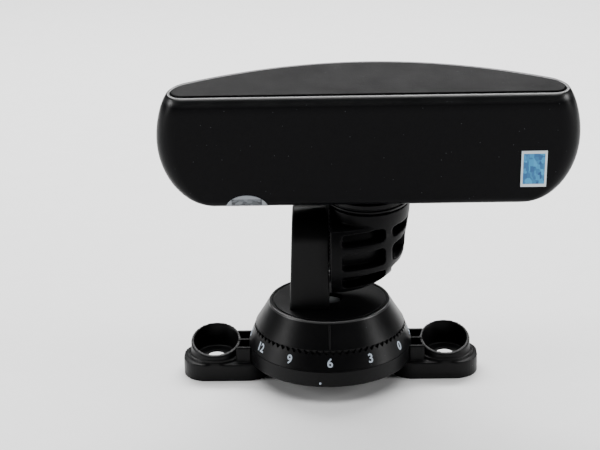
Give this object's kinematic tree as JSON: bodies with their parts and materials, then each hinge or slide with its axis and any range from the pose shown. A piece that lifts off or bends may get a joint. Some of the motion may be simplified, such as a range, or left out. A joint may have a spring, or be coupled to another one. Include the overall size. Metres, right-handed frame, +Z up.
{
  "type": "radar antenna head",
  "caption": "Wide D-shaped radar antenna housing on a tilting elbow, with a post, a numbered turntable base and a two-lobe screw mounting bar.",
  "frame": {"origin": "centre of the foot pad's underside, under the turntable axis, on the table", "axes": "+Z up along the turntable axis; -Y towards the front of the housing; +X to the side on which the elbow stands"},
  "size_m": [0.1786, 0.0736, 0.1422],
  "materials": {
    "moulded_plastic": "satin moulded black ABS",
    "textured_plastic": "fine spark-eroded texture, black",
    "rubber": "matte black",
    "nylon": "natural nylon",
    "steel": "zinc-plated steel",
    "black_steel": "black zinc",
    "circuit_board": "green solder mask",
    "laminate": "microwave laminate",
    "copper": "bare copper foil",
    "tin": "tin plate",
    "chip": "moulded epoxy",
    "label": "silver film",
    "sticker": "printed film"
  },
  "bodies": {
    "base": {"mounting_bar": "moulded_plastic", "foot_pad": "rubber", "hub_housing": "moulded_plastic", "dial_ring": "moulded_plastic", "bearing_washer": "nylon", "spring_washer": "steel", "flat_washer": "steel"},
    "turntable": {"turntable": "moulded_plastic", "pan_nut": "steel", "pan_bolt": "steel", "post": "moulded_plastic", "post_screw_1": "steel", "post_screw_2": "steel", "post_tooth_ring": "moulded_plastic", "tilt_washer": "steel", "tilt_screw": "black_steel"},
    "head": {"elbow": "textured_plastic", "elbow_tooth_ring": "moulded_plastic", "tilt_nut": "steel", "collar_ring": "moulded_plastic", "housing": "textured_plastic", "lid_gasket": "rubber", "lid": "textured_plastic", "collar_screw_1": "steel", "collar_screw_2": "steel", "collar_screw_3": "steel", "collar_screw_4": "steel", "main_board": "circuit_board", "board_screw_1": "steel", "board_screw_2": "steel", "board_screw_3": "steel", "board_screw_4": "steel", "processor": "chip", "power_capacitor": "tin", "lead_header": "nylon", "antenna_board": "laminate", "antenna_patch_1": "copper", "antenna_patch_2": "copper", "antenna_patch_3": "copper", "antenna_patch_4": "copper", "shield_can": "tin", "cable_socket": "black_steel", "socket_seal": "rubber", "socket_nut": "steel", "inspection_sticker": "sticker", "oval_label": "label"}
  },
  "joints": [
    {"name": "pan", "type": "hinge", "parent": "base", "child": "turntable", "pos_m": [0, 0, 0.04], "axis": [0, 0, 1], "continuous": true},
    {"name": "tilt", "type": "hinge", "parent": "turntable", "child": "head", "pos_m": [0, 0, 0.0654], "axis": [1, 0, 0], "range_deg": [-38, 52]}
  ]
}
